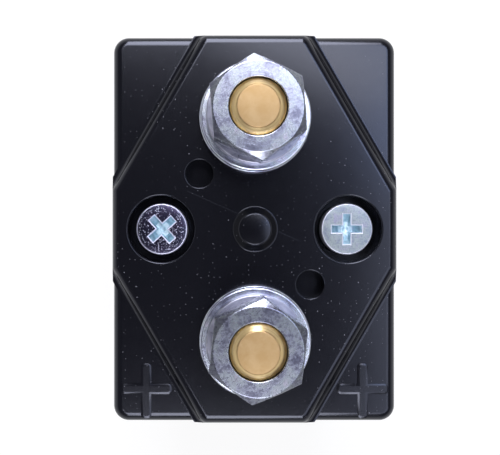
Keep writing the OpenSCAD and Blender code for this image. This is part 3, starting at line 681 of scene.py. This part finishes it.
def chamber():
    """A tool for the contact chamber, with the screw columns left standing."""
    room = block(CHAMBER_X, CHAMBER_Y, RIM_Z - PAST, CHAMBER_TOP, CHAMBER_CORNER_R, 0)
    foot, neck, top = RIM_Z + COLUMN_FOOT_H, CHAMBER_TOP - COLUMN_NECK_H, CHAMBER_TOP + PAST
    outline = [
        (0, foot), (COLUMN_R, foot), (COLUMN_R, neck), (COLUMN_NECK_R, neck),
        (COLUMN_NECK_R, top), (0, top),
    ]
    return less(room, *(moved(turned(outline), side * SCREW_X) for side in (-1, 1)))


def cover():
    """The moulding: its shell, pad, marks and boss, less its holes and the rooms inside."""
    shell = block(COVER_X, COVER_Y, RIM_Z, EAR_TOP, CORNER_R, EDGE_R, 12)
    shell = plus(shell, raised_pad(), plus_mark(-1), plus_mark(1), centre_boss())
    under = [(0, RIM_Z - PAST), (SCREW_HOLE_R, RIM_Z - PAST), (SCREW_HOLE_R, BORE_FLOOR)]
    recess_sizes = (HEAD_RECESS_SIDE, HEAD_RECESS_SIDE, HEAD_RECESS_TOP - ROOF_TOOL_LOW)
    recess_z = (HEAD_RECESS_TOP + ROOF_TOOL_LOW) / 2
    tools = [chamber(), plug(POCKET_R, ROOF_TOOL_LOW, POCKET_TOP)]
    for side in (-1, 1):
        y = side * STUD_Y
        tools += [
            moved(lipped_bore(BORE_R, BORE_FLOOR, BORE_LIP, under), side * SCREW_X),
            moved(lipped_bore(AUX_R, AUX_FLOOR, AUX_LIP), -side * AUX, side * AUX),
            moved(plug(STUD_HOLE_R, ROOF_TOOL_LOW, COVER_TOP + 2 * PAST), 0, y),
            box(recess_sizes, (0, y, recess_z)),
        ]
        for end in (-1, 1):
            place = (side * MAGNET_SLOT_X, end * STUD_Y, MAGNET_SLOT_Z)
            tools.append(box(MAGNET_SLOT_SIZES, place))
    shell = less(shell, *tools)
    piece("cover_moulding", shell, black_moulding(), ["cover"], crease=40)


# The terminals

def washer(radius, low, top, soft):
    """A flat washer with rolled outer edges and a lightly broken bore."""
    bore, small = 4.2, 0.12
    return turned([
        (bore, low + small), (bore + small, low),
        *arc((radius - soft, low + soft), soft, -90, 0, 5),
        *arc((radius - soft, top - soft), soft, 0, 90, 6),
        (bore + small, top), (bore, top - small),
    ], 96, ring=True)


def nut():
    """A hexagon nut, both ends chamfered to a round face and the bore countersunk."""
    across, bore, sink = 13.0, 4.12, 0.07
    face_r, outer_r = 6.3, 8.2
    slope = math.radians(30)
    hexagon = bmesh.new()
    bmesh.ops.create_circle(
        hexagon, cap_ends=True, radius=across / 2 / math.cos(math.pi / 6), segments=6
    )
    moved(hexagon, 0, 0, NUT_LOW - PAST)
    raised = bmesh.ops.extrude_face_region(hexagon, geom=hexagon.faces[:])["geom"]
    bmesh.ops.translate(
        hexagon, verts=[g for g in raised if isinstance(g, bmesh.types.BMVert)],
        vec=(0, 0, NUT_TOP - NUT_LOW + 2 * PAST),
    )
    tidy(hexagon)
    fall = (outer_r - face_r) * math.tan(slope)
    blank = turned([
        (bore, NUT_LOW + sink), (bore + sink, NUT_LOW),
        (face_r, NUT_LOW), (outer_r, NUT_LOW + fall),
        (outer_r, NUT_TOP - fall), (face_r, NUT_TOP),
        (bore + sink, NUT_TOP), (bore, NUT_TOP - sink),
    ], 120, ring=True)
    return combined(blank, hexagon, "INTERSECT")


def spring_washer():
    """A split ring of rectangular wire, its ends a little out of line."""
    soft, low, top, inner, outer = 0.18, 63.24, 65.0, 4.2, 7.35
    share_of_turn, lift, split_at = 0.975, 0.16, 34
    section = [
        *arc((inner + soft, low + soft), soft, 180, 270, 3),
        *arc((outer - soft, low + soft), soft, 270, 360, 3),
        *arc((outer - soft, top - soft), soft, 0, 90, 3),
        *arc((inner + soft, top - soft), soft, 90, 180, 3),
    ]
    return moved(wound(section, share_of_turn, 96, lift), turn=split_at)


def stud():
    """A terminal stud: sanded end disc, turned chamfer, and its square head inside."""
    shank_r, foot, chamfer_h = 3.98, 54, 0.74
    head_side, head_h, head_z = 14.96, 2.98, 54.5
    shank = turned([
        (0, foot), (shank_r, foot), (shank_r, STUD_TOP - chamfer_h),
        *arc((3.9, STUD_TOP - chamfer_h), 0.08, 0, 50, 2), (3.12, STUD_TOP - 0.16),
        *arc((2.86, STUD_TOP - 0.2), 0.2, 50, 90, 3), (0, STUD_TOP),
    ], 96)
    head = box((head_side, head_side, head_h), (0, 0, head_z))
    round_over(head, upright_edges(head), 0.6, 4)
    return plus(tidy(head), shank)


def terminals():
    """Both studs with their washers and nuts, the nuts and upper washers a little askew."""
    for word, side, nut_turn, slip, nut_finish in (
        ("negative", 1, 4.7, (0.03, -0.04), (0.61, 0.26, 0.34)),
        ("positive", -1, -6.6, (-0.04, 0.06), (0.49, 0.27, 0.50)),
    ):
        y = side * STUD_Y
        plate = zinc_plate(f"washer_zinc_{word}", (0, y, 0), 1.12, 0.24, 0.35)
        for layer, radius, low, top, soft, (slip_x, slip_y) in (
            ("lower", 8.5, COVER_TOP, WASHER_TOPS[0], 0.36, (0, 0)),
            ("upper", 8.28, WASHER_TOPS[0], WASHER_TOPS[1], 0.30, slip),
        ):
            ring = moved(washer(radius, low, top, soft), slip_x, y + slip_y)
            piece(f"{layer}_washer_{word}", ring, plate, [f"terminal_{layer}_washers"])
        split = moved(spring_washer(), 0, y)
        steel = metal(f"spring_washer_steel_{word}", (0.36, 0.37, 0.46), (0.60, 0.60, 0.70), 0.3)
        piece(f"spring_washer_{word}", split, steel, ["terminal_spring_washers"])
        hexagon = moved(nut(), 0, y, turn=nut_turn)
        face = zinc_plate(f"nut_zinc_{word}", (0, y, 0), *nut_finish, rings=0.3)
        piece(f"nut_{word}", hexagon, face, ["terminal_nuts"], crease=20, edge=0.09)
        brass = stud_brass(f"stud_{word}_brass", (0, y, 0))
        nodes = [f"terminal_stud_{word}"]
        piece(f"stud_{word}", moved(stud(), 0, y), brass, nodes, crease=30)


# The cover screws

def cross_tool(turn):
    """A tool for a cross recess: four wings that narrow downwards, mouths broken at 45 degrees."""
    depth, lip = 1.9, 0.17
    mouth, foot = (4.65, 1.1), (2.3, 0.85)
    flare = lip + PAST
    wings = []
    for angle in (0, 90):
        wing = box((1, 1, depth - lip), (0, 0, SCREW_TOP - (depth + lip) / 2))
        for vert in wing.verts:
            wide = mouth if vert.co.z > SCREW_TOP - depth / 2 else foot
            vert.co.x *= wide[0]
            vert.co.y *= wide[1]
        upper = highest_face(wing)
        raised = bmesh.ops.extrude_face_region(wing, geom=[upper])["geom"]
        bmesh.ops.delete(wing, geom=[upper], context="FACES_ONLY")
        for vert in [g for g in raised if isinstance(g, bmesh.types.BMVert)]:
            vert.co.x += math.copysign(flare, vert.co.x)
            vert.co.y += math.copysign(flare, vert.co.y)
            vert.co.z += flare
        wings.append(moved(tidy(wing), turn=angle + turn))
    floor, top = SCREW_TOP - depth, SCREW_TOP - 0.3
    middle = turned([(0, floor - 0.35), (0.75, floor + 0.2), (1.25, top), (0, top)], 24)
    return plus(*wings, middle)


def cover_screws():
    """Both cover screws: a plain shank and a pan head with its cross."""
    end, head_low, head_r, rim_r = 35.6, 55.6, 4.0, 0.26
    thread_r, tip_r, tip_h, under_edge = 2.0, 1.6, 0.5, 0.2
    outline = [
        (0, end), (tip_r, end), (thread_r, end + tip_h), (thread_r, head_low),
        (head_r - under_edge, head_low), (head_r, head_low + under_edge),
        *arc((head_r - rim_r, SCREW_TOP - rim_r), rim_r, 0, 84, 6),
        (thread_r, SCREW_TOP), (0, SCREW_TOP),
    ]
    for word, side, turn in (("left", -1, 42), ("right", 1, 0)):
        form = moved(less(turned(outline, 96), cross_tool(turn)), side * SCREW_X)
        paint = screw_face(f"screw_plate_{word}", (side * SCREW_X, 0, 0), side < 0)
        piece(f"cover_screw_{word}", form, paint, ["cover_screws"], crease=25)


# The springs

def springs():
    """The two springs, each wound between its lower and upper end and riding on its body."""
    wire = metal("spring_wire", (0.42, 0.43, 0.46), (0.62, 0.63, 0.66), 0.28)
    # Body, joint, mean diameter, wire, turns, lower and upper end, fixed end, share of length kept
    for name, body, joint, mean, thick, turns, low, high, fixed, keep in (
        ("return", "housing", "armature_slide", 7.2, 0.8, 5, 48.57, 57.98, 58.0, 0.63),
        ("contact", "armature", "bridge_slide", 9.8, 0.9, 3, 40.12, 45.48, 40.1, 0.815),
    ):
        section = arc((mean / 2, low + thick / 2), thick / 2, 0, 330, 11)
        form = wound(section, turns, 40, high - low - thick)
        nodes = [f"{name}_spring"]
        made = piece(f"{name}_coil", form, wire, nodes, body, crease=60)
        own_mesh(made)


# The frame, the coil and the moving pieces

def copies():
    """Pieces whose CAD form is right, given soft edges and their finish."""
    chromate = chromate_plate()
    rubber = dull("black_rubber", (0.010, 0.010, 0.012), (0.022, 0.022, 0.024), 0.62)
    nylon = dull("natural_nylon", (0.60, 0.57, 0.46), (0.70, 0.67, 0.56), 0.44)
    tin = metal("tinned_strip", (0.58, 0.58, 0.60), (0.74, 0.74, 0.75), 0.30)
    laminate = dull("brown_phenolic", (0.050, 0.028, 0.016), (0.085, 0.050, 0.030), 0.42)
    copper = metal("rolled_copper", (0.52, 0.25, 0.14), (0.70, 0.38, 0.24), 0.30)
    for node, paint, slot, body, edge in (
        ("yoke_frame", chromate, "frame_zinc", "housing", 0.28),
        ("top_plate", chromate, "frame_zinc", "housing", 0.28),
        ("cover_gasket", rubber, "seal_rubber", "housing", 0.12),
        ("coil_bobbin", nylon, "bobbin_nylon", "housing", 0.18),
        ("coil_tabs", tin, "tab_tin", "housing", 0.10),
        ("chamber_floor", laminate, "floor_laminate", "housing", 0.15),
        ("contact_bridge", copper, "bridge_copper", "bridge", 0.20),
    ):
        piece(f"{node}_finished", copied(node), paint, [node], body, crease=30, edge=edge)


def tape_wrap():
    """The tape round the winding, its laps a hair proud of each other."""
    low, top, inner, outer = 4.6, 31.8, 17.55, 18.0
    laps, sunk, nick = 6, 0.07, 0.03
    rise = (top - low) / laps
    outline = [(inner, low)]
    for lap in range(laps):
        start = low + lap * rise
        radius = outer - (sunk if lap % 2 else 0.0)
        outline += [(radius, start + nick), (radius, start + rise - nick)]
    outline += [(inner, top)]
    form = turned(outline, 128, ring=True)
    piece("coil_wrap_tape", form, coil_tape(), ["coil_wrap"])


def plain_finishes():
    """Finishes for the CAD nodes that are shown as they are."""
    steel = metal("soft_iron", (0.40, 0.41, 0.43), (0.56, 0.57, 0.59), 0.32)
    silver = metal("contact_silver", (0.66, 0.65, 0.62), (0.82, 0.81, 0.78), 0.38)
    brass = metal(
        "tube_brass", (0.52, 0.37, 0.15), (0.70, 0.52, 0.26), 0.26, 1.0, 0.004, (1, 1, 0.2)
    )
    washer_steel = metal("small_washer_steel", (0.36, 0.37, 0.44), (0.58, 0.58, 0.66), 0.3)
    ferrite = dull("pressed_ferrite", (0.020, 0.020, 0.022), (0.035, 0.035, 0.037), 0.6)
    rubber = dull("buffer_rubber", (0.012, 0.012, 0.014), (0.024, 0.024, 0.026), 0.7)
    foam = dull("grey_foam", (0.05, 0.052, 0.056), (0.11, 0.115, 0.12), 0.8, 2.0, 0.1)
    wire = enamel_wire()
    finishes = {
        "cover_screw_washers": washer_steel,
        "fixed_contact_tips": silver,
        "moving_contact_tips": silver,
        "blowout_magnets": ferrite,
        "magnet_keepers": steel,
        "flux_bush": steel,
        "fixed_core": steel,
        "plunger": steel,
        "push_rod": metal("rod_steel", (0.55, 0.56, 0.58), (0.70, 0.71, 0.73), 0.2),
        "rod_clip": metal("clip_steel", (0.16, 0.16, 0.18), (0.30, 0.30, 0.33), 0.35),
        "pole_shim": metal("shim_bronze", (0.50, 0.28, 0.13), (0.66, 0.40, 0.20), 0.3),
        "guide_tube": brass,
        "coil_winding": wire,
        "coil_leads": wire,
        "coil_washer": foam,
        "bottom_buffer": rubber,
        "contact_carrier": dull("carrier_nylon", (0.58, 0.54, 0.44), (0.68, 0.64, 0.54), 0.45),
        "spring_seat": dull("seat_nylon", (0.58, 0.54, 0.44), (0.68, 0.64, 0.54), 0.45),
    }
    for node, paint in finishes.items():
        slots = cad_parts[node].data.materials
        slots.clear()
        slots.append(paint)


# Floor, light and camera

def pale_floor():
    """A white floor that keeps a soft shadow, and is clear when it is seen from below."""
    bm = bmesh.new()
    bmesh.ops.create_grid(bm, x_segments=2, y_segments=2, size=4)
    mesh = bpy.data.meshes.new("floor")
    bm.to_mesh(mesh)
    bm.free()
    made = bpy.data.objects.new("floor", mesh)
    bpy.context.scene.collection.objects.link(made)
    paint = Paint("floor_white", base_color=(0.86, 0.86, 0.87), roughness=0.9, specular=0.0)
    camera_ray, glossy_ray, clear_ray = (
        paint.add("LightPath", output=f"Is {kind} Ray")
        for kind in ("Camera", "Glossy", "Transmission")
    )
    seen = camera_ray.math("MAXIMUM", glossy_ray).math("MAXIMUM", clear_ray)
    glow = paint.add("Emission", None, {"Color": (1, 1, 1), "Strength": 1.0})
    lit = Field(paint, paint.shader.outputs[0])
    shown = paint.add("MixShader", None, {0: seen * 0.86, 1: lit, 2: glow})
    back = paint.add("NewGeometry", output="Backfacing")
    clear = paint.add("BsdfTransparent")
    shown = paint.add("MixShader", None, {0: back, 1: shown, 2: clear})
    paint.feed(paint.tree.nodes["Material Output"].inputs["Surface"], shown)
    mesh.materials.append(paint.material)


def soft_box(name, x, y, sizes, turn, power, colour):
    """A lamp panel at lamp height that faces straight down."""
    lamp = bpy.data.lights.new(name, "AREA")
    lamp.shape, lamp.energy, lamp.color = "RECTANGLE", power, colour
    lamp.size, lamp.size_y = sizes
    made = bpy.data.objects.new(name, lamp)
    made.location = (x, y, LAMP_HEIGHT)
    made.rotation_euler = (0, 0, math.radians(turn))
    made.visible_camera = False
    bpy.context.scene.collection.objects.link(made)


def studio():
    """Panels beyond both ends of the cover, cool ones to its right, and a room dark overhead."""
    white, pale = (0.93, 0.93, 1.0), (0.90, 0.90, 1.0)
    cool, blue = (0.80, 0.84, 1.0), (0.62, 0.72, 1.0)
    # Place, width and length in metres, turn in degrees, power in watts
    soft_box("panel_top", -0.02, 0.27, (0.30, 0.14), 0, 0.89, white)
    soft_box("panel_far_top", -0.01, 1.02, (0.38, 1.36), 0, 18.0, pale)
    soft_box("panel_near_top", 0.08, 0.175, (0.17, 0.06), -22, 0.2, white)
    soft_box("panel_bottom", -0.01, -0.53, (0.26, 0.62), 0, 4.0, white)
    soft_box("panel_right", 0.22, 0.17, (0.22, 0.22), 20, 0.75, blue)
    soft_box("panel_side", 0.29, -0.14, (0.30, 0.44), 0, 0.95, cool)
    world = bpy.data.worlds.new("room")
    bpy.context.scene.world = world
    world.use_nodes = True
    nodes = Nodes(world.node_tree)
    up = nodes.axes(nodes.add("TexCoord", output="Generated"))[2]
    room = nodes.ramp(
        up, (0.0, (0.86, 0.86, 0.87)), (0.30, (0.76, 0.76, 0.78)), (0.42, (0.15, 0.15, 0.17)),
        (0.80, (0.11, 0.11, 0.13)), (0.93, (0.035, 0.035, 0.045)),
    )
    nodes.feed(world.node_tree.nodes["Background"].inputs["Color"], room)


def camera():
    """Straight down on the terminals, a little left of the middle, as the photograph was taken."""
    lens = bpy.data.cameras.new("camera")
    lens.lens, lens.sensor_width = 54.8, 36.0
    lens.shift_x, lens.shift_y = 0.0556, 0.0032
    lens.clip_start = 0.01
    made = bpy.data.objects.new("camera", lens)
    made.location = (-0.0050, 0.0, 0.1766)
    bpy.context.scene.collection.objects.link(made)
    bpy.context.scene.camera = made


cover()
terminals()
cover_screws()
springs()
copies()
tape_wrap()
plain_finishes()
pale_floor()
studio()
camera()
bpy.context.scene.view_settings.view_transform = "Standard"
